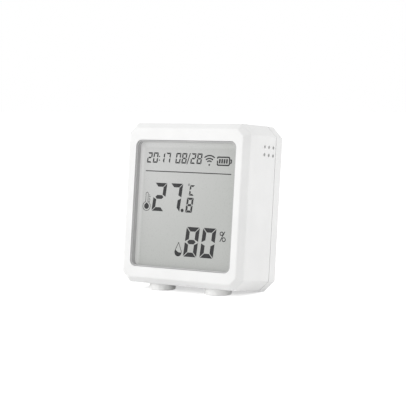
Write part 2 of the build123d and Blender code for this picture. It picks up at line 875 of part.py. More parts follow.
with BuildPart() as chip_capacitors:
    row_y = chip_y + chip_size / 2 + leg_reach + chip_part_length
    with BuildSketch(at_height(board_back - capacitor_height, 0, row_y)):
        with GridLocations(chip_part_pitch, 0, chip_part_count, 1):
            Rectangle(chip_part_width, chip_part_length)
    extrude(amount=capacitor_height)

with BuildPart() as chip_resistors:
    row_y = chip_y - chip_size / 2 - leg_reach - chip_part_length
    with BuildSketch(at_height(board_back - resistor_height, 0, row_y)):
        with GridLocations(chip_part_pitch, 0, chip_part_count, 1):
            Rectangle(chip_part_width, chip_part_length)
    extrude(amount=resistor_height)

# Two cells in series: the left one stands nub up, the right one nub down.
cells = []
sleeves = []
for side in (-1, 1):
    nub_end = Plane(
        origin=(side * cell_pitch / 2, -side * contact_face, cell_z),
        x_dir=(1, 0, 0),
        z_dir=(0, side, 0),
    )
    with BuildPart() as cell:
        with BuildSketch(nub_end):
            Circle(nub_diameter / 2)
        extrude(amount=nub_height)
        with BuildSketch(nub_end.offset(nub_height)):
            Circle(cell_radius - sleeve_thickness)
        can = extrude(amount=cell_length - nub_height)
        fillet(can.edges().group_by(Axis.Y)[0] + can.edges().group_by(Axis.Y)[-1], cell_edge)
    cells.append(cell)
    with BuildPart() as sleeve:
        with BuildSketch(nub_end.offset(nub_height + sleeve_setback)):
            Circle(cell_radius)
            Circle(cell_radius - sleeve_thickness, mode=Mode.SUBTRACT)
        extrude(amount=cell_length - nub_height - 2 * sleeve_setback)
    sleeves.append(sleeve)
cell_left, cell_right = cells
sleeve_left, sleeve_right = sleeves

# Contact plates: two at the top with tails through the board, one bridge at the bottom.
contacts = []
for side in (-1, 1):
    with BuildPart() as contact:
        with BuildSketch(Plane.XZ.offset(-bay_length / 2)):
            with Locations((side * cell_pitch / 2, cell_z)):
                Rectangle(contact_width, contact_height)
            with Locations((side * cell_pitch / 2, (cell_z + board_front) / 2)):
                Rectangle(tail_width, board_front - cell_z)
        extrude(amount=contact_thickness)
    contacts.append(contact)
positive_contact, negative_contact = contacts

with BuildPart() as bridge_contact:
    with BuildSketch(Plane.XZ.offset(contact_face)):
        with Locations((0, cell_z)):
            with GridLocations(cell_pitch, 0, 2, 1):
                Rectangle(contact_width, contact_height)
        with Locations((0, cell_z - contact_height / 2 + bridge_height / 2)):
            Rectangle(cell_pitch, bridge_height)
    extrude(amount=contact_thickness)


# Contact springs: conical coils from the plates to the flat ends of the cells.
def coil_point(seat, angle):
    """Gives the wire's centre on a coil standing on a plane, at an angle from its start."""
    way = angle / (2 * pi * spring_turns)
    radius = (spring_base_diameter + way * (spring_tip_diameter - spring_base_diameter)) / 2
    rise = spring_wire / 2 + way * (spring_length - spring_wire - spring_seat_gap)
    return seat.from_local_coords(Vector(radius * cos(angle), radius * sin(angle), rise))


def coil_direction(seat, angle):
    """Gives the direction of the wire there."""
    step = pi / coil_steps / coil_steps
    return (coil_point(seat, angle + step) - coil_point(seat, angle - step)).normalized()


def arc_joint(start, leave, end, arrive):
    """Gives where two tangent arcs from start to end meet, and their direction there."""
    chord = end - start
    both = leave + arrive
    spread = 2 * (1 - leave.dot(arrive))
    across = chord.dot(both)
    reach = (sqrt(across * across + spread * chord.dot(chord)) - across) / spread
    first = start + leave * reach
    second = end - arrive * reach
    return (first + second) * (1 / 2), (second - first).normalized()


quarter = pi / 2
coils = []
for side in (-1, 1):
    seat = Plane(
        origin=(side * cell_pitch / 2, side * contact_face, cell_z),
        x_dir=(1, 0, 0),
        z_dir=(0, -side, 0),
    )
    with BuildPart() as coil:
        with BuildLine() as wire:
            for corner in range(4 * spring_turns):
                start = coil_point(seat, corner * quarter)
                leave = coil_direction(seat, corner * quarter)
                end = coil_point(seat, (corner + 1) * quarter)
                arrive = coil_direction(seat, (corner + 1) * quarter)
                joint, through = arc_joint(start, leave, end, arrive)
                TangentArc(start, joint, tangent=leave)
                TangentArc(joint, end, tangent=through)
        with BuildSketch(Plane(origin=wire.line @ 0, z_dir=wire.line % 0)):
            Circle(spring_wire / 2)
        sweep()
    coils.append(coil)
spring_lower, spring_upper = coils

track = [
    coil_point(seat, 2 * pi * step / coil_steps)
    for step in range(spring_turns * coil_steps + 1)
]
least = min(
    (track[later] - track[early]).length
    for early in range(len(track))
    for later in range(early + coil_steps // 2, len(track))
)
print("least gap of a contact spring to itself:", round(least - spring_wire, 2))

# Stand the case up: lean it back, set the feet at height 0 and centre its outline.
tilt = Rot(upright - lean, 0, 0)
stood = Compound([tilt * front_shell.part, tilt * back_shell.part]).bounding_box()
floor_height = (tilt * Pos(0, floor_y, floor_z)).position.Z
stance = Pos(0, -stood.center().Y, -floor_height) * tilt

pieces = {
    "front_shell": front_shell,
    "back_shell": back_shell,
    "battery_door": battery_door,
    "foot_left": foot_left,
    "foot_right": foot_right,
    "pair_button": pair_button,
    "button_switch": button_switch,
    "switch_stem": switch_stem,
    "lcd_frame": lcd_frame,
    "lcd_front_film": lcd_front_film,
    "lcd_front_glass": lcd_front_glass,
    "lcd_rear_glass": lcd_rear_glass,
    "lcd_rear_film": lcd_rear_film,
    "light_guide": light_guide,
    "backlight_leds": backlight_leds,
    "foam_pad": foam_pad,
    "contact_rubber": contact_rubber,
    "main_board": main_board,
    "board_screws": board_screws,
    "case_screws": case_screws,
    "radio_board": radio_board,
    "radio_shield": radio_shield,
    "sensor_board": sensor_board,
    "climate_sensor": climate_sensor,
    "sensor_pins": sensor_pins,
    "controller_chip": controller_chip,
    "controller_legs": controller_legs,
    "driver_blob": driver_blob,
    "crystal_can": crystal_can,
    "power_coil": power_coil,
    "storage_cans": storage_cans,
    "chip_capacitors": chip_capacitors,
    "chip_resistors": chip_resistors,
    "cell_left": cell_left,
    "cell_right": cell_right,
    "sleeve_left": sleeve_left,
    "sleeve_right": sleeve_right,
    "positive_contact": positive_contact,
    "negative_contact": negative_contact,
    "bridge_contact": bridge_contact,
    "spring_upper": spring_upper,
    "spring_lower": spring_lower,
}
os.makedirs("parts", exist_ok=True)
for name, piece in pieces.items():
    standing = stance * piece.part
    standing.label = name
    export_step(standing, f"parts/{name}.step")
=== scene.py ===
# %% [markdown]
# # A desktop temperature and humidity sensor
# The real object is a small white plastic box that leans back on two feet. A grey segment
# screen lies in its window, and six vent holes let the room's air reach the sensor inside.
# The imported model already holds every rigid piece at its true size, so this file adds what
# that model leaves out: the dark shapes on the screen, and the finishes.

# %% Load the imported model
import math

import bpy
from mathutils import Matrix, Vector


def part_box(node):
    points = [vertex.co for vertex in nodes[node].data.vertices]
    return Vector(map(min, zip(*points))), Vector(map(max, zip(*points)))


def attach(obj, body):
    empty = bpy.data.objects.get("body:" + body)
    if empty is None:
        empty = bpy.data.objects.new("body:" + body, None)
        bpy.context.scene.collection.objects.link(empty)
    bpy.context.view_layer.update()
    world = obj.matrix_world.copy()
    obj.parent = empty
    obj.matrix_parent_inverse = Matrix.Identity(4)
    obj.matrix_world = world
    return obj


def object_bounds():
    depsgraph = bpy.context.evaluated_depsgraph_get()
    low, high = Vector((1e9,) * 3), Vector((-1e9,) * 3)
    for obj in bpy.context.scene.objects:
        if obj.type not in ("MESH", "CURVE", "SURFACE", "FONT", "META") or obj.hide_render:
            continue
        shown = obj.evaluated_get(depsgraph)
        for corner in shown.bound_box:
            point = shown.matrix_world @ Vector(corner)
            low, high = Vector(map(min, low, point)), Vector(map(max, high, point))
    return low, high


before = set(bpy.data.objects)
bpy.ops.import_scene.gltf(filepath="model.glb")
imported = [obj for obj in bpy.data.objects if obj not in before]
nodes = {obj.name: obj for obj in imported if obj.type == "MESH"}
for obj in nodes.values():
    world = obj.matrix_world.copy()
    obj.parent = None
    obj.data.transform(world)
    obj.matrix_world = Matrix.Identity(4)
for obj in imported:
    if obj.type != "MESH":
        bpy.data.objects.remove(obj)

cad_low, cad_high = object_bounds()
print("height of the model in mm:", round(1000 * (cad_high.z - cad_low.z), 1))

# %% [markdown]
# ## A frame that leans with the case
# The case leans back, so nothing on its screen is level with the room. It is far easier to
# draw the screen flat, with x to the right, y up the screen and z towards the viewer, and to
# turn the finished drawing into place once. One matrix does that. Its origin is the middle
# of the screen's front film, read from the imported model, so it stays right if the case moves.

# %% The screen's own frame
MM = 0.001
case_lean = math.radians(5.8)
film_thickness = 0.2 * MM

to_right = Vector((1, 0, 0))
up_screen = Vector((0, math.sin(case_lean), math.cos(case_lean)))
to_viewer = Vector((0, -math.cos(case_lean), math.sin(case_lean)))


def frame_from(right, up, towards, origin):
    """Gives the matrix that lays a drawing on three axes with its middle at an origin."""
    matrix = Matrix.Identity(4)
    for column, axis in enumerate((right, up, towards, origin)):
        for row in range(3):
            matrix[row][column] = axis[row]
    return matrix


film_low, film_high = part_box("lcd_front_film")
screen_centre = (film_low + film_high) / 2 + to_viewer * (film_thickness / 2)
screen_frame = frame_from(to_right, up_screen, to_viewer, screen_centre)
print("middle of the screen in mm:", [round(1000 * value, 2) for value in screen_centre])

# %% [markdown]
# ## The camera
# The photograph was taken with a long lens, about 33 degrees to the right of the front, and
# nearly level. Those numbers come from a fit: the case's height and the slope of its walls
# were assumed, and seventeen edges were matched with the photograph to find the angles, the
# distance and the lens. Other slopes match almost as well and turn the camera by up to five
# degrees, so this is a likely camera and not a measured one. Its angles are given as seen
# from the case itself, which is why it seems to look slightly up and to be rolled: the case
# leans, not the camera.

# %% Camera
picture_size = 406
focal_pixels = 1250.0
sensor_width = 36.0
nearest, furthest = 0.01, 20.0
camera_turn = math.radians(32.9)
camera_lift = math.radians(-0.55)
camera_roll = math.radians(3.17)
camera_distance = 472.0
camera_shift = (1.23, 0.98)
case_middle = (0.0, 0.2, -9.75)

# Directions in the case's own frame: x right, y up, z to the viewer.
backward = Vector((
    math.sin(camera_turn) * math.cos(camera_lift),
    math.sin(camera_lift),
    math.cos(camera_turn) * math.cos(camera_lift),
))
level_right = Vector((math.cos(camera_turn), 0, -math.sin(camera_turn)))
level_up = backward.cross(level_right)
camera_right = math.cos(camera_roll) * level_right + math.sin(camera_roll) * level_up
camera_up = math.cos(camera_roll) * level_up - math.sin(camera_roll) * level_right
place = (
    Vector(case_middle)
    + backward * camera_distance
    + camera_right * camera_shift[0]
    + camera_up * camera_shift[1]
) * MM
camera_in_case = frame_from(camera_right, camera_up, backward, place)

bpy.ops.object.camera_add()
camera = bpy.context.object
camera.name = "photo_camera"
camera.matrix_world = screen_frame @ camera_in_case
camera.data.sensor_width = sensor_width
camera.data.lens = focal_pixels / picture_size * sensor_width
camera.data.clip_start = nearest
camera.data.clip_end = furthest
bpy.context.scene.camera = camera
print("lens in mm:", round(camera.data.lens, 1))

# %% [markdown]
# ## The room
# A white product on a white ground needs gentle light from all sides, so the world itself
# gives most of it. What is seen of it directly or in a reflection is plain white, through
# Light Path, and that doesn't brighten the object's own colour. Two soft lamps then do the
# modelling: one from the front left, and one from behind on the right. The bevel between the
# front and the right wall faces neither, which makes it the darkest upright face, as it is
# in the photograph.

# %% World
room_strength = 0.74
white = (1.0, 1.0, 1.0, 1)
scene = bpy.context.scene
scene.view_settings.view_transform = "Standard"


def larger(tree, first, second):
    """Gives the larger of two values."""
    pick = tree.nodes.new("ShaderNodeMath")
    pick.operation = "MAXIMUM"
    tree.links.new(first, pick.inputs[0])
    tree.links.new(second, pick.inputs[1])
    return pick.outputs[0]


def seen_directly(tree):
    """Gives a socket that is 1 for what the camera, a reflection or a clear piece shows."""
    path = tree.nodes.new("ShaderNodeLightPath")
    seen = larger(tree, path.outputs["Is Camera Ray"], path.outputs["Is Glossy Ray"])
    return larger(tree, seen, path.outputs["Is Transmission Ray"])


world = bpy.data.worlds.new("white_room")
scene.world = world
world.use_nodes = True
room = world.node_tree
room_light = room.nodes["Background"]
room_light.inputs["Color"].default_value = white
room_light.inputs["Strength"].default_value = room_strength
white_ground = room.nodes.new("ShaderNodeBackground")
white_ground.inputs["Color"].default_value = white
white_ground.inputs["Strength"].default_value = 1.0
choice = room.nodes.new("ShaderNodeMixShader")
room.links.new(seen_directly(room), choice.inputs["Fac"])
room.links.new(room_light.outputs[0], choice.inputs[1])
room.links.new(white_ground.outputs[0], choice.inputs[2])
room.links.new(choice.outputs[0], room.nodes["World Output"].inputs["Surface"])
print("strength of the room's light:", room_strength)

# %% Lamps
object_middle = (cad_low + cad_high) / 2


def soft_lamp(name, turn, lift, distance, size, power):
    """Adds a square lamp that faces the object from a turn about it and a lift above it."""
    turn, lift = math.radians(turn), math.radians(lift)
    outward = Vector((
        math.sin(turn) * math.cos(lift),
        -math.cos(turn) * math.cos(lift),
        math.sin(lift),
    ))
    bpy.ops.object.light_add(type="AREA", location=object_middle + outward * distance)
    lamp = bpy.context.object
    lamp.name = name
    lamp.rotation_mode = "QUATERNION"
    lamp.rotation_quaternion = (-outward).to_track_quat("-Z", "Y")
    lamp.data.shape = "SQUARE"
    lamp.data.size = size
    lamp.data.energy = power
    print(name, "in watts:", power)


soft_lamp("front_lamp", turn=-38, lift=20, distance=2.0, size=1.5, power=14.2)
soft_lamp("side_lamp", turn=120, lift=6, distance=1.2, size=0.7, power=3.35)

# %% [markdown]
# ## The floor
# One large sheet of white paper is enough. The camera is almost level, so the sheet runs on
# to the horizon, where the world behind it is just as white and hides its edge. A modest
# glow lifts the paper to white. It lights nothing, because Light Path keeps it to what is
# seen directly, and it keeps the soft shadow under the case, because it is added to the
# paper's own shade instead of replacing it.

# %% Sheet
sheet_width = 60.0

bpy.ops.object.select_all(action="DESELECT")
bpy.ops.mesh.primitive_plane_add(size=sheet_width, location=(0, 0, 0))
paper = bpy.context.object
paper.name = "paper_floor"
bpy.ops.object.mode_set(mode="EDIT")
bpy.ops.mesh.select_all(action="SELECT")
bpy.ops.mesh.subdivide(number_cuts=3)
bpy.ops.object.mode_set(mode="OBJECT")
print("floor faces:", len(paper.data.polygons))

# %% Paper
paper_shade = 0.90
paper_glow = 0.55

paper_finish = bpy.data.materials.new("white_paper")
paper_finish.use_nodes = True
tree = paper_finish.node_tree
tree.nodes.remove(tree.nodes["Principled BSDF"])
dull = tree.nodes.new("ShaderNodeBsdfDiffuse")
dull.inputs["Color"].default_value = (paper_shade, paper_shade, paper_shade, 1)
glow = tree.nodes.new("ShaderNodeEmission")
amount = tree.nodes.new("ShaderNodeMath")
amount.operation = "MULTIPLY"
amount.inputs[1].default_value = paper_glow
tree.links.new(seen_directly(tree), amount.inputs[0])
tree.links.new(amount.outputs[0], glow.inputs["Strength"])
both = tree.nodes.new("ShaderNodeAddShader")
tree.links.new(dull.outputs[0], both.inputs[0])
tree.links.new(glow.outputs[0], both.inputs[1])
tree.links.new(both.outputs[0], tree.nodes["Material Output"].inputs["Surface"])
paper.data.materials.append(paper_finish)
print(paper_finish.name, "on", paper.name)

# %% [markdown]
# ## Finishes: how each one starts
# Real plastic is never one flat colour. It has a slight cloudiness, a gloss that changes a
# little from place to place, and the fine sparkle of the spark-eroded mould. All three come
# from patterns on Object coordinates. These are in metres, so a scale of 4000 gives grains
# of a quarter of a millimetre. What is the same everywhere sits on the shader's own sockets.

# %% Shader and noise
def plain_shader(name, roughness, metallic=0.0):
    """Starts a finish and gives it with its tree and its shader."""
    finish = bpy.data.materials.new(name)
    finish.use_nodes = True
    shader = finish.node_tree.nodes["Principled BSDF"]
    shader.inputs["Roughness"].default_value = roughness
    shader.inputs["Metallic"].default_value = metallic
    return finish, finish.node_tree, shader


def object_place(tree):
    """Gives the place of a point on its object, in metres."""
    return tree.nodes.new("ShaderNodeTexCoord").outputs["Object"]


def noise_at(tree, scale, detail=3.0, stretch=(1, 1, 1)):
    """Adds noise on Object coordinates, stretched along an axis where brushing runs."""
    squeeze = tree.nodes.new("ShaderNodeMapping")
    squeeze.inputs["Scale"].default_value = stretch
    noise = tree.nodes.new("ShaderNodeTexNoise")
    noise.inputs["Scale"].default_value = scale
    noise.inputs["Detail"].default_value = detail
    tree.links.new(object_place(tree), squeeze.inputs["Vector"])
    tree.links.new(squeeze.outputs["Vector"], noise.inputs["Vector"])
    return noise.outputs["Fac"]


# %% [markdown]
# A value has to become something before it shows. Map Range makes a number of it, for the
# gloss, Color Ramp a colour, and Bump a grain whose depth is given in metres. Noise seldom
# leaves the middle third of its range, so both of the first two start from that third.

# %% Numbers, colours and grain
noise_low, noise_high = 0.35, 0.65


def between(tree, value, low, high, start=noise_low, end=noise_high):
    """Turns a value into a number that runs from low to high."""
    span = tree.nodes.new("ShaderNodeMapRange")
    span.inputs["From Min"].default_value = start
    span.inputs["From Max"].default_value = end
    span.inputs["To Min"].default_value = low
    span.inputs["To Max"].default_value = high
    tree.links.new(value, span.inputs["Value"])
    return span.outputs["Result"]


def two_colours(tree, value, first, second, start=noise_low, end=noise_high):
    """Turns a value into a colour that runs from the first to the second."""
    ramp = tree.nodes.new("ShaderNodeValToRGB")
    ramp.color_ramp.elements[0].position = start
    ramp.color_ramp.elements[0].color = (*first, 1)
    ramp.color_ramp.elements[1].position = end
    ramp.color_ramp.elements[1].color = (*second, 1)
    tree.links.new(value, ramp.inputs["Fac"])
    return ramp.outputs["Color"]


def grain(tree, shader, value, depth):
    """Raises and lowers the surface by up to a depth in metres."""
    bump = tree.nodes.new("ShaderNodeBump")
    bump.inputs["Strength"].default_value = 1.0
    bump.inputs["Distance"].default_value = depth
    tree.links.new(value, bump.inputs["Height"])
    tree.links.new(bump.outputs["Normal"], shader.inputs["Normal"])


# %% [markdown]
# Two recipes cover most pieces. What is moulded, cast or fired gets clouds of colour, finer
# patches of gloss and a fine grain. Metal gets one pattern for its colour, gloss and grain,
# because a line in metal shows in all three. A table then says which pieces get what, so
# each recipe stands here only once.

# %% Recipes
gloss_ratio = 7


def moulded(name, first, second, roughness, grain_scale, grain_depth, cloud_scale=90.0):
    """A moulded or cast finish: cloudy colour, uneven gloss and a fine grain."""
    finish, tree, shader = plain_shader(name, roughness[0])
    cloud = noise_at(tree, cloud_scale)
    tree.links.new(two_colours(tree, cloud, first, second), shader.inputs["Base Color"])
    gloss = noise_at(tree, cloud_scale * gloss_ratio)
    tree.links.new(between(tree, gloss, *roughness), shader.inputs["Roughness"])
    grain(tree, shader, noise_at(tree, grain_scale, detail=2.0), grain_depth)
    return finish


def brushed(name, first, second, roughness, stretch, scale=2500.0, depth=4e-6):
    """A metal finish whose fine lines run along the axis with the smallest stretch."""
    finish, tree, shader = plain_shader(name, roughness[0], metallic=1.0)
    lines = noise_at(tree, scale, stretch=stretch)
    tree.links.new(two_colours(tree, lines, first, second), shader.inputs["Base Color"])
    tree.links.new(between(tree, lines, *roughness), shader.inputs["Roughness"])
    grain(tree, shader, lines, depth)
    return finish


def paint(finish, *names):
    """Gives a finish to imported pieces."""
    for name in names:
        nodes[name].data.materials.clear()
        nodes[name].data.materials.append(finish)
    print(finish.name, "on", ", ".join(names))


def finish_all(recipe, rows):
    """Makes one finish for each row and gives it to the pieces that end the row."""
    for *values, pieces in rows:
        paint(recipe(*values), *pieces.split())


# %% [markdown]
# ## The white plastic
# The shells, the door and the button are white ABS with a fine satin grain. They come from
# moulds of their own, so the door is a shade off the shells, and the button is another and
# a little glossier. The white is a touch below paper white, so that lit faces stay off
# clipping and the edges read. Subsurface light would only blur such a small box.

# %% White plastic
# Name, two tones, roughness, grain scale, grain depth in metres, pieces.
finish_all(moulded, (
    ("white_abs", (0.875, 0.875, 0.87), (0.905, 0.905, 0.90), (0.36, 0.46), 5200.0, 6e-6,
     "front_shell back_shell"),
    ("white_abs_door", (0.865, 0.865, 0.86), (0.895, 0.895, 0.89), (0.38, 0.5), 5200.0, 6e-6,
     "battery_door"),
    ("white_button_plastic", (0.84, 0.84, 0.835), (0.88, 0.88, 0.875), (0.3, 0.4), 4200.0, 4e-6,
     "pair_button"),
))

# %% [markdown]
# ## The silicone feet
# Both feet are milky silicone. It is softer and duller than the case, lets a little light
# in, and picks up dust, so its gloss is broken up at a coarser scale than the plastic's.

# %% Feet
dust_scale = 900.0
skin_scale, skin_depth = 3000.0, 5e-6

silicone, tree, shader = plain_shader("milky_silicone", 0.55)
dust = noise_at(tree, dust_scale, detail=6.0)
milky = two_colours(tree, dust, (0.93, 0.93, 0.92), (0.96, 0.96, 0.95), 0.3, 0.6)
tree.links.new(milky, shader.inputs["Base Color"])
tree.links.new(between(tree, dust, 0.45, 0.7), shader.inputs["Roughness"])
shader.inputs["Subsurface Weight"].default_value = 0.1
shader.inputs["Subsurface Radius"].default_value = (MM, MM, MM)
grain(tree, shader, noise_at(tree, skin_scale), skin_depth)
paint(silicone, "foot_left", "foot_right")

# %% [markdown]
# ## The screen
# A segment screen has no picture. Its rear film is a greenish silver mirror, and polarising
# film in front dulls it to a warm grey. Painted light makes the grey palest at the upper left
# and lets it fall off towards the lower right, standing in for the room's reflection, so the
# colour follows the distance from a point at the film's upper left corner, which Vector Math
# measures.

# %% Front film
painted_light_corner = screen_frame @ Vector((-20.5 * MM, 22.7 * MM, 0))
painted_light_length = 42 * MM
haze_scale = 1600.0
film_grain_scale, film_grain_depth = 9000.0, 8e-7

screen_film, tree, shader = plain_shader("polarising_film", 0.3)
away = tree.nodes.new("ShaderNodeVectorMath")
away.operation = "DISTANCE"
away.inputs[1].default_value = painted_light_corner
tree.links.new(object_place(tree), away.inputs[0])
# Painted light: the film's colour is paler near its upper left corner and darker towards the lower
# right.
share = between(tree, away.outputs["Value"], 0.0, 1.0, start=0.0, end=painted_light_length)
painted_light_fall = two_colours(tree, share, (0.585, 0.585, 0.58), (0.475, 0.485, 0.468), 0.0, 1.0)
tree.links.new(painted_light_fall, shader.inputs["Base Color"])
haze = noise_at(tree, haze_scale, detail=4.0)
tree.links.new(between(tree, haze, 0.26, 0.34), shader.inputs["Roughness"])
grain(tree, shader, noise_at(tree, film_grain_scale), film_grain_depth)
shader.inputs["Specular IOR Level"].default_value = 0.35
paint(screen_film, "lcd_front_film")

# %% [markdown]
# The film is given a painted glow along its left and top edges, which lifts the shade that the
# window's rim casts there. How far a point lies along a direction is the dot product of the two.
# Map Range turns the last millimetre or two before an edge into a weak glow, and in the corner the
# stronger counts.

# %% Painted glow along two edges
left_edge, left_reach, left_strength = 20.6 * MM, 1.2 * MM, 0.22
top_edge, top_reach, top_strength = 22.7 * MM, 1.8 * MM, 0.13


def distance_along(tree, direction):
    """Gives how far a point lies along a direction, in metres."""
    along = tree.nodes.new("ShaderNodeVectorMath")
    along.operation = "DOT_PRODUCT"
    along.inputs[1].default_value = direction
    tree.links.new(object_place(tree), along.inputs[0])
    return along.outputs["Value"]


def painted_edge_glow(tree, direction, edge, reach, strength):
    """A painted glow at the edge that is so far from the screen's middle, which fades inwards."""
    start = direction.dot(screen_centre) + edge
    return between(tree, distance_along(tree, direction), strength, 0.0, start, start - reach)


painted_left_glow = painted_edge_glow(tree, -to_right, left_edge, left_reach, left_strength)
painted_top_glow = painted_edge_glow(tree, up_screen, top_edge, top_reach, top_strength)
# Painted light: the film glows along its left and top edges, though nothing there is a lamp.
tree.links.new(larger(tree, painted_left_glow, painted_top_glow), shader.inputs["Emission Strength"])
shader.inputs["Emission Color"].default_value = (1.0, 1.0, 0.99, 1)
print("glow on", screen_film.name, "at the left and top edges")

# %% [markdown]
# Behind the front film stand two panes of thin glass and the mirror film. Only the panes'
# cut edges would show, and those are green, as all window glass is edge-on. Transmission
# makes them clear from the front, with a faint ripple that stops them from looking like air.

# %% Mirror film and glass panes
# Name, two tones, roughness, stretch, pieces.
finish_all(brushed, (
    ("silver_mirror_film", (0.60, 0.62, 0.58), (0.68, 0.70, 0.66), (0.3, 0.4), (1, 1, 0.05),
     "lcd_rear_film"),
))

tint_scale = 60.0
ripple_scale, ripple_depth = 150.0, 1e-6

pane, tree, shader = plain_shader("thin_green_glass", 0.04)
tint = two_colours(tree, noise_at(tree, tint_scale), (0.80, 0.90, 0.84), (0.86, 0.94, 0.89))
tree.links.new(tint, shader.inputs["Base Color"])
shader.inputs["Transmission Weight"].default_value = 0.85
shader.inputs["IOR"].default_value = 1.5
grain(tree, shader, noise_at(tree, ripple_scale), ripple_depth)
paint(pane, "lcd_front_glass", "lcd_rear_glass")

# %% [markdown]
# ## The grey frame round the screen
# The frame's collar lines the window. It is coloured mid grey, so the strip on the left of
# the screen and the thin line round the rest of it show as a grey border.

# %% Screen frame
# Name, two tones, roughness, grain scale, grain depth in metres, pieces.
finish_all(moulded, (
    ("grey_frame_plastic", (0.47, 0.47, 0.47), (0.51, 0.51, 0.51), (0.4, 0.5), 4000.0, 4e-6,
     "lcd_frame"),
))

# %% [markdown]
# ## Drawing the dark shapes
# Every mark on the screen is a cell of liquid crystal that turns dark, with sharp edges and
# one even colour. They could be a painted texture, but thin flat solids keep their edges at
# any distance. All their points are in millimetres from the middle of the screen. A plate is
# a filled circle whose corners are moved onto an outline.

# %% Plates
def facing_viewer(shape):
    """Turns a flat shape over if it faces away from the viewer."""
    shape.data.update()
    if shape.data.polygons[0].normal.z < 0:
        shape.data.flip_normals()
    return shape


def plate(outline):
    """A flat filled shape with its corners at points."""
    bpy.ops.mesh.primitive_circle_add(vertices=len(outline), fill_type="NGON")
    shape = bpy.context.object
    for vertex, (x, y) in zip(shape.data.vertices, outline):
        vertex.co = (x * MM, y * MM, 0)
    return facing_viewer(shape)


# %% [markdown]
# A ribbon is a one-row grid that is bent along a line. At a corner its two edges meet in a
# mitre, so the band keeps its width. A very sharp corner would throw the mitre far out,
# which a limit prevents.

# %% Ribbons
sharpest_mitre = 0.3


def sideways(before, after, half_width):
    """Gives the step from a line's corner to its mitred edge."""
    first = Vector((-before.y, before.x)).normalized()
    second = Vector((-after.y, after.x)).normalized()
    middle = (first + second).normalized()
    return middle * (half_width / max(middle.dot(first), sharpest_mitre))


def ribbon(points, width, closed=False):
    """A flat band along points, which may close on itself."""
    points = [Vector(point) for point in points]
    if closed:
        points.append(points[0])
    count = len(points)
    runs = [end - start for start, end in zip(points, points[1:])]
    befores = [runs[-1] if closed else runs[0]] + runs
    afters = runs + [runs[0] if closed else runs[-1]]
    bpy.ops.mesh.primitive_grid_add(x_subdivisions=count - 1, y_subdivisions=1)
    band = bpy.context.object
    for index, point in enumerate(points):
        step = sideways(befores[index], afters[index], width / 2)
        low, high = (point - step) * MM, (point + step) * MM
        band.data.vertices[index].co = (low.x, low.y, 0)
        band.data.vertices[count + index].co = (high.x, high.y, 0)
    return facing_viewer(band)


# %% [markdown]
# Arcs and circles are only lists of points, which a plate or a ribbon then follows.

# %% Arcs and circles
def arc(centre, radius, start, end, steps):
    """Points along an arc, from one angle to another in degrees."""
    turns = [math.radians(start + (end - start) * step / steps) for step in range(steps + 1)]
    return [
        (centre[0] + radius * math.cos(turn), centre[1] + radius * math.sin(turn))
        for turn in turns
    ]


def circle(centre, radius, corners=12):
    """Points round a circle, without the first one again at the end."""
    return arc(centre, radius, 0, 360 - 360 / corners, corners - 1)


# %% [markdown]
# ## One digit
# A digit is seven bars in a leaning box. The six outer bars have mitred ends, and the middle
# one is a long hexagon. Which bars are dark for each figure is the usual table, with the
# bars named a to g from the top, clockwise, and the middle one last.

# %% Digits
bars_of = {
    "0": "abcdef",
    "1": "bc",
    "2": "abged",
    "7": "abc",
    "8": "abcdefg",
    "C": "afed",
}


def digit(figure, left, bottom, width, height, stroke, gap, lean=6.0):
    """Draws one figure as plates, with the lower left corner of its box at a point."""
    slant = math.tan(math.radians(lean))
    middle = height / 2
    half = stroke / 2
    inner = stroke + gap
    bars = {
        "a": [(gap, height), (width - gap, height),
              (width - inner, height - stroke), (inner, height - stroke)],
        "b": [(width, height - gap), (width, middle + gap),
              (width - stroke, middle + half + gap), (width - stroke, height - inner)],
        "c": [(width, middle - gap), (width, gap),
              (width - stroke, inner), (width - stroke, middle - half - gap)],
        "d": [(gap, 0), (width - gap, 0), (width - inner, stroke), (inner, stroke)],
        "e": [(0, gap), (0, middle - gap), (stroke, middle - half - gap), (stroke, inner)],
        "f": [(0, middle + gap), (0, height - gap),
              (stroke, height - inner), (stroke, middle + half + gap)],
        "g": [(half + gap, middle), (inner, middle + half), (width - inner, middle + half),
              (width - half - gap, middle), (width - inner, middle - half),
              (inner, middle - half)],
    }
    return [
        plate([(left + x + y * slant, bottom + y) for x, y in bars[name]])
        for name in bars_of[figure]
    ]


def digits(places, bottom, **size):
    """Draws a row of figures, each of them given with its left edge."""
    shapes = []
    for figure, left in places:
        shapes += digit(figure, left, bottom, **size)
    return shapes


print("figures that can be drawn:", ", ".join(bars_of))

# %% [markdown]
# ## The colour of a dark cell
# A switched cell is a very dark grey with a cold cast, not black, because some light still
# passes. Its tone and its gloss are a little uneven across the screen.

# %% Dark cell finish
tone_scale = 350.0
gloss_scale = 1600.0

dark_cell, tree, shader = plain_shader("dark_liquid_crystal", 0.32)
tone = noise_at(tree, tone_scale)
uneven = two_colours(tree, tone, (0.010, 0.011, 0.012), (0.018, 0.019, 0.020))
tree.links.new(uneven, shader.inputs["Base Color"])
gloss = between(tree, noise_at(tree, gloss_scale), 0.28, 0.38)
tree.links.new(gloss, shader.inputs["Roughness"])
shader.inputs["Specular IOR Level"].default_value = 0.25
print("finish of the marks:", dark_cell.name)

# %% [markdown]
# ## From flat shapes to one mark
# A mark is many plates and ribbons. They are joined, corners that meet are welded, Solidify
# gives them a thickness, and one move lays them on the film. Their undersides are sunk into
# it by a few thousandths of a millimetre, so that no gap shows.

# %% Laying a mark on the film
ink_height = 0.018 * MM
ink_sunk = 0.003 * MM
weld_distance = 0.0005 * MM


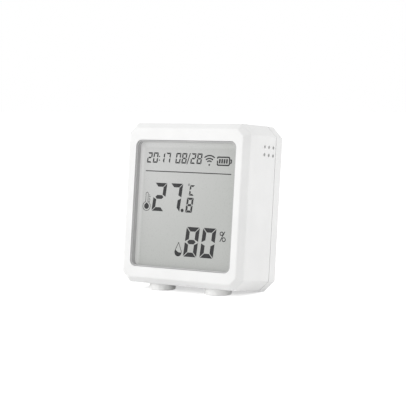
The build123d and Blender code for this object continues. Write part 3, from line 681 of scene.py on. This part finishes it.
def inked(name, shapes):
    """Joins flat shapes, thickens them and lays them on the screen's front film."""
    bpy.ops.object.select_all(action="DESELECT")
    for shape in shapes:
        shape.select_set(True)
    bpy.context.view_layer.objects.active = shapes[0]
    bpy.ops.object.join()
    piece = bpy.context.object
    piece.name = name
    bpy.ops.object.mode_set(mode="EDIT")
    bpy.ops.mesh.select_all(action="SELECT")
    bpy.ops.mesh.remove_doubles(threshold=weld_distance)
    bpy.ops.object.mode_set(mode="OBJECT")
    thicken = piece.modifiers.new("thickness", "SOLIDIFY")
    thicken.thickness = ink_height + ink_sunk
    thicken.offset = 1.0
    bpy.ops.object.modifier_apply(modifier=thicken.name)
    piece.matrix_world = screen_frame @ Matrix.Translation((0, 0, -ink_sunk))
    bpy.ops.object.transform_apply(location=True, rotation=True, scale=True)
    piece.data.materials.append(dark_cell)
    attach(piece, "case")
    print(name, "faces:", len(piece.data.polygons))


print("height of a mark above the film in mm:", round(ink_height / MM, 3))

# %% [markdown]
# ## Clock and date
# The top row holds the time and the date in small thin figures, with a colon of two dots
# and a leaning stroke between day and month.

# %% Clock
row_bottom = 15.4
row_size = {"width": 2.2, "height": 3.95, "stroke": 0.56, "gap": 0.08}
clock_places = (("2", -18.63), ("0", -15.93), ("1", -12.91), ("7", -10.27))
colon_left = -12.91
colon_rises = (1.05, 2.45)
colon_radius = 0.26

clock_shapes = digits(clock_places, row_bottom, **row_size)
for rise in colon_rises:
    clock_shapes.append(plate(circle((colon_left, row_bottom + rise), colon_radius)))
inked("clock_digits", clock_shapes)

# %% Date
date_places = (("0", -5.65), ("8", -2.93), ("2", 1.07), ("8", 3.79))
date_stroke = [(-0.35, row_bottom - 0.2), (0.95, row_bottom + 4.0)]
date_stroke_width = 0.35

date_shapes = digits(date_places, row_bottom, **row_size)
date_shapes.append(ribbon(date_stroke, date_stroke_width))
inked("date_digits", date_shapes)

# %% [markdown]
# ## Signal, battery and the dividing line
# Three arcs over a dot mean a radio link. The battery is an outline with a cap on its right
# and four bars for a full charge. Under the row runs one long thin line.

# %% Signal
signal_centre = (9.5, 15.2)
signal_dot = 0.36
signal_radii = (1.45, 2.4, 3.45)
signal_from, signal_to, signal_steps = 50, 130, 14
signal_stroke = 0.49

signal_shapes = [plate(circle(signal_centre, signal_dot))]
for radius in signal_radii:
    bow = arc(signal_centre, radius, signal_from, signal_to, signal_steps)
    signal_shapes.append(ribbon(bow, signal_stroke))
inked("signal_mark", signal_shapes)

# %% Battery
battery_outline = [
    (13.0, 17.6), (13.0, 17.9), (13.25, 18.15), (17.85, 18.15), (18.15, 17.85),
    (18.15, 15.5), (17.85, 15.2), (13.3, 15.2), (13.0, 15.5), (13.0, 16.85),
]
battery_cap = [(18.5, 15.95), (18.95, 16.15), (18.95, 17.1), (18.5, 17.3)]
battery_stroke = 0.5
charge_bars = 4
bar_left, bar_step, bar_lean = 13.93, 1.02, 0.12
bar_bottom, bar_top, bar_width = 15.85, 17.5, 0.68

battery_shapes = [ribbon(battery_outline, battery_stroke), ribbon(battery_cap, battery_stroke)]
for bar in range(charge_bars):
    left = bar_left + bar_step * bar
    battery_shapes.append(ribbon([(left, bar_bottom), (left + bar_lean, bar_top)], bar_width))
inked("battery_mark", battery_shapes)

# %% Dividing line
line_points = [(-18.9, 12.32), (0, 12.18), (19.2, 11.98)]
line_width = 0.34
inked("dividing_line", [ribbon(line_points, line_width)])

# %% [markdown]
# ## Temperature
# Large figures give whole degrees, a small one the tenth, and over it stands the unit with
# its degree ring. The decimal point is large, so it has more corners than the other dots.

# %% Temperature
big_bottom = -2.71
big_size = {"width": 5.48, "height": 10.62, "stroke": 1.44, "gap": 0.18}
big_places = (("2", -15.24), ("7", -8.08))
point_centre, point_radius, point_corners = (-1.35, -2.0), 0.65, 24
tenth_left, tenth_bottom = 0.02, -2.7
tenth_size = {"width": 2.95, "height": 5.56, "stroke": 0.83, "gap": 0.1}
unit_left, unit_bottom = 1.25, 3.6
unit_size = {"width": 2.21, "height": 3.92, "stroke": 0.66, "gap": 0.1}
ring_centre, ring_radius, ring_width = (1.11, 7.65), 0.31, 0.17

temperature_shapes = digits(big_places, big_bottom, **big_size)
temperature_shapes.append(plate(circle(point_centre, point_radius, point_corners)))
temperature_shapes += digit("8", tenth_left, tenth_bottom, **tenth_size)
temperature_shapes += digit("C", unit_left, unit_bottom, **unit_size)
temperature_shapes.append(ribbon(circle(ring_centre, ring_radius), ring_width, closed=True))
inked("temperature_digits", temperature_shapes)

# %% [markdown]
# The thermometer beside the figures is a thin outline of tube and bulb, with a filled core
# that comes to a point and a column of ticks. The outline leaves the bulb where the tube's
# sides meet its circle, at an angle that the two widths give.

# %% Thermometer
bulb, bulb_radius = (-17.65, -1.05), 1.72
tube_half, tube_top = 0.5, 3.68
outline_width = 0.2
core_radius, core_tip = 1.1, 1.4
tick_left, tick_bottom, tick_step, tick_width = -16.75, 0.7, 0.62, 0.24
tick_reaches = (0.5, 0.75, 0.5, 0.75, 0.5)

meet = math.degrees(math.acos(tube_half / bulb_radius))
outline = arc(bulb, bulb_radius, 180 - meet, 360 + meet, 26)
outline += arc((bulb[0], tube_top), tube_half, 0, 180, 10)
core = arc(bulb, core_radius, 130, 410, 21) + [(bulb[0], bulb[1] + core_tip)]
thermometer_shapes = [ribbon(outline, outline_width, closed=True), plate(core)]
for tick, reach in enumerate(tick_reaches):
    rise = tick_bottom + tick_step * tick
    thermometer_shapes.append(ribbon([(tick_left, rise), (tick_left + reach, rise)], tick_width))
inked("thermometer_mark", thermometer_shapes)

# %% [markdown]
# ## Humidity
# Two large figures stand in the lower right, with a small percent sign of a stroke and two
# rings. They lean a little less than the figures above.

# %% Humidity
damp_bottom = -19.03
damp_size = {"width": 5.8, "height": 11.05, "stroke": 1.62, "gap": 0.22, "lean": 5.2}
damp_places = (("8", 0.16), ("0", 7.42))
percent_stroke = [(15.88, -12.67), (17.83, -8.92)]
percent_rings = (((16.48, -9.72), 0.64), ((17.53, -11.82), 0.7))
percent_width = 0.33

humidity_shapes = digits(damp_places, damp_bottom, **damp_size)
humidity_shapes.append(ribbon(percent_stroke, percent_width))
for centre, radius in percent_rings:
    humidity_shapes.append(ribbon(circle(centre, radius), percent_width, closed=True))
inked("humidity_digits", humidity_shapes)

# %% [markdown]
# The drop is an outline that is filled to the middle of its round belly. Its sides are
# straight and run into the belly at a tangent, so the belly's arc ends where a line from the
# tip just touches the circle.

# %% Drop
belly, belly_radius = (-2.15, -17.56), 1.48
tip = (-2.1, -13.96)
drop_width = 0.22
fill_inset = 0.05
fill_from, fill_to, fill_steps = 145, 354, 20

open_angle = math.degrees(math.acos(belly_radius / (tip[1] - belly[1])))
drop_outline = arc(belly, belly_radius, 90 + open_angle, 450 - open_angle, 28) + [tip]
fill = arc(belly, belly_radius - fill_inset, fill_from, fill_to, fill_steps) + [belly]
inked("drop_mark", [ribbon(drop_outline, drop_width, closed=True), plate(fill)])

# %% [markdown]
# ## Boards
# The main board and the sensor's board are green solder mask over glass cloth, and the radio
# module's board is blue. Fine ridges in the mask show where copper tracks run. A Brick
# texture with thin mortar gives the tracks, stood upright as the main board is, and noise
# makes the gloss of the cloth uneven.

# %% Boards
track_scale, track_width, track_height = 260.0, 0.03, 2e-5
cloth_scale = 700.0


def board(name, dark, light, track):
    """Solder mask over cloth, with the ridges of buried copper tracks."""
    finish, tree, shader = plain_shader(name, 0.3)
    flat_on = tree.nodes.new("ShaderNodeMapping")
    flat_on.inputs["Rotation"].default_value = (math.radians(90), 0, 0)
    tracks = tree.nodes.new("ShaderNodeTexBrick")
    tracks.inputs["Scale"].default_value = track_scale
    tracks.inputs["Mortar Size"].default_value = track_width
    tracks.inputs["Color1"].default_value = (*dark, 1)
    tracks.inputs["Color2"].default_value = (*light, 1)
    tracks.inputs["Mortar"].default_value = (*track, 1)
    tree.links.new(object_place(tree), flat_on.inputs["Vector"])
    tree.links.new(flat_on.outputs["Vector"], tracks.inputs["Vector"])
    tree.links.new(tracks.outputs["Color"], shader.inputs["Base Color"])
    cloth = between(tree, noise_at(tree, cloth_scale), 0.25, 0.4)
    tree.links.new(cloth, shader.inputs["Roughness"])
    grain(tree, shader, tracks.outputs["Fac"], track_height)
    return finish


# Name, darker and lighter mask, track, pieces.
finish_all(board, (
    ("green_board", (0.012, 0.12, 0.045), (0.016, 0.15, 0.055), (0.05, 0.26, 0.10),
     "main_board sensor_board"),
    ("blue_board", (0.05, 0.085, 0.24), (0.06, 0.10, 0.28), (0.10, 0.17, 0.40),
     "radio_board"),
))

# %% [markdown]
# ## Chips and small parts
# What sits on the boards is moulded or fired: epoxy round the chips, ferrite round the coil,
# ceramic in the capacitors, and dark glaze on the resistors. They differ in tone, gloss and
# the size of their clouds, which is all that the recipe needs.

# %% Chips and small parts
# Name, two tones, roughness, grain scale, grain depth in metres, cloud scale, pieces.
finish_all(moulded, (
    ("black_epoxy", (0.018, 0.018, 0.019), (0.03, 0.03, 0.031), (0.5, 0.65), 6000.0, 5e-6, 400.0,
     "controller_chip driver_blob button_switch climate_sensor"),
    ("grey_ferrite", (0.13, 0.13, 0.14), (0.18, 0.18, 0.19), (0.45, 0.6), 5000.0, 5e-6, 500.0,
     "power_coil"),
    ("tan_ceramic", (0.38, 0.25, 0.14), (0.46, 0.32, 0.19), (0.4, 0.55), 5000.0, 3e-6, 900.0,
     "chip_capacitors"),
    ("black_resistor", (0.03, 0.03, 0.035), (0.06, 0.06, 0.065), (0.3, 0.45), 5000.0, 3e-6, 900.0,
     "chip_resistors"),
    ("black_switch_stem", (0.03, 0.03, 0.03), (0.05, 0.05, 0.05), (0.35, 0.5), 4000.0, 4e-6, 300.0,
     "switch_stem"),
))

# %% [markdown]
# ## Metal pieces
# Each metal piece keeps the marks of how it was made. Sheet, cans, pins and screws have lines
# one way, which noise gives when it is stretched along one axis. The springs' wire is too
# thin for lines, so its noise is even. Nickel is a little yellow, tin cold, screws darker.

# %% Metals
# Name, two tones, roughness, stretch, pieces.
finish_all(brushed, (
    ("nickel_sheet", (0.62, 0.59, 0.54), (0.74, 0.71, 0.66), (0.2, 0.34), (1, 1, 0.04),
     "positive_contact negative_contact bridge_contact radio_shield"),
    ("spring_wire", (0.60, 0.58, 0.55), (0.72, 0.70, 0.66), (0.18, 0.3), (1, 1, 1),
     "spring_upper spring_lower"),
    ("tinned_leads", (0.66, 0.67, 0.68), (0.78, 0.79, 0.80), (0.25, 0.4), (1, 1, 0.2),
     "controller_legs crystal_can storage_cans"),
    ("gold_pins", (0.78, 0.56, 0.22), (0.90, 0.68, 0.32), (0.2, 0.32), (1, 1, 0.2),
     "sensor_pins"),
    ("zinc_screw", (0.38, 0.38, 0.40), (0.50, 0.50, 0.52), (0.25, 0.42), (1, 0.2, 1),
     "case_screws board_screws"),
    ("cell_can_steel", (0.60, 0.60, 0.60), (0.70, 0.70, 0.70), (0.2, 0.32), (1, 1, 0.1),
     "cell_left cell_right"),
))

# %% [markdown]
# ## Cell sleeves
# A battery's sleeve is shrunk plastic film with a printed band. Here it is plain: blue grey,
# with one pale band at the end that carries the nub. The band follows the distance along the
# cell, and the cells lie in opposite ways, so each sleeve has a finish of its own.

# %% Sleeves
band_start = 10.5 * MM
band_fade = 0.4 * MM
scuff_scale, scuff_depth = 1200.0, 3e-6


def sleeve_finish(name, node, nub_up):
    """A printed film whose band lies at the nub's end of one cell."""
    finish, tree, shader = plain_shader(name, 0.25)
    low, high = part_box(node)
    to_nub = up_screen * (1 if nub_up else -1)
    start = ((low + high) / 2).dot(to_nub) + band_start
    along = distance_along(tree, to_nub)
    band = between(tree, along, 0.0, 1.0, start=start, end=start + band_fade)
    print_colour = two_colours(tree, band, (0.30, 0.33, 0.37), (0.62, 0.64, 0.66), 0.45, 0.55)
    tree.links.new(print_colour, shader.inputs["Base Color"])
    scuff = noise_at(tree, scuff_scale, detail=6.0)
    tree.links.new(between(tree, scuff, 0.18, 0.34), shader.inputs["Roughness"])
    grain(tree, shader, scuff, scuff_depth)
    paint(finish, node)


sleeve_finish("left_sleeve_film", "sleeve_left", nub_up=True)
sleeve_finish("right_sleeve_film", "sleeve_right", nub_up=False)

# %% [markdown]
# ## Behind the screen
# The light guide is clear acrylic with a field of tiny printed dots, which Voronoi cells
# give. The foam ring has the same cells as dents.

# %% Light guide and foam
dot_scale = 1400.0
pore_scale, pore_depth = 2600.0, 8e-5


def pattern_at(tree, kind, scale):
    """Adds a texture of one kind on Object coordinates."""
    pattern = tree.nodes.new(kind)
    pattern.inputs["Scale"].default_value = scale
    tree.links.new(object_place(tree), pattern.inputs["Vector"])
    return pattern


acrylic, tree, shader = plain_shader("dotted_acrylic", 0.08)
dots = pattern_at(tree, "ShaderNodeTexVoronoi", dot_scale).outputs["Distance"]
dotted = two_colours(tree, dots, (0.95, 0.96, 0.97), (0.78, 0.80, 0.82), 0.2, 0.3)
tree.links.new(dotted, shader.inputs["Base Color"])
shader.inputs["Transmission Weight"].default_value = 0.5
shader.inputs["IOR"].default_value = 1.49
paint(acrylic, "light_guide")

foam, tree, shader = plain_shader("grey_foam", 0.9)
pores = pattern_at(tree, "ShaderNodeTexVoronoi", pore_scale).outputs["Distance"]
porous = two_colours(tree, pores, (0.16, 0.16, 0.165), (0.26, 0.26, 0.265), 0.1, 0.7)
tree.links.new(porous, shader.inputs["Base Color"])
grain(tree, shader, pores, pore_depth)
paint(foam, "foam_pad")

# %% [markdown]
# The contact rubber is a stack of thin layers, in turn dark and conducting, and pink and
# insulating, which bands of a Wave texture give. The two lamps at the light guide's edge
# show the yellow phosphor over their chips.

# %% Contact rubber and lamps
layer_scale = 900.0

rubber, tree, shader = plain_shader("layered_rubber", 0.6)
layers = pattern_at(tree, "ShaderNodeTexWave", layer_scale)
layers.bands_direction = "X"
striped = two_colours(
    tree, layers.outputs["Fac"], (0.30, 0.20, 0.18), (0.85, 0.62, 0.55), 0.45, 0.55
)
tree.links.new(striped, shader.inputs["Base Color"])
paint(rubber, "contact_rubber")

# Name, two tones, roughness, grain scale, grain depth in metres, cloud scale, pieces.
finish_all(moulded, (
    ("yellow_phosphor", (0.75, 0.62, 0.16), (0.85, 0.74, 0.26), (0.25, 0.4), 5000.0, 3e-6, 1200.0,
     "backlight_leds"),
))
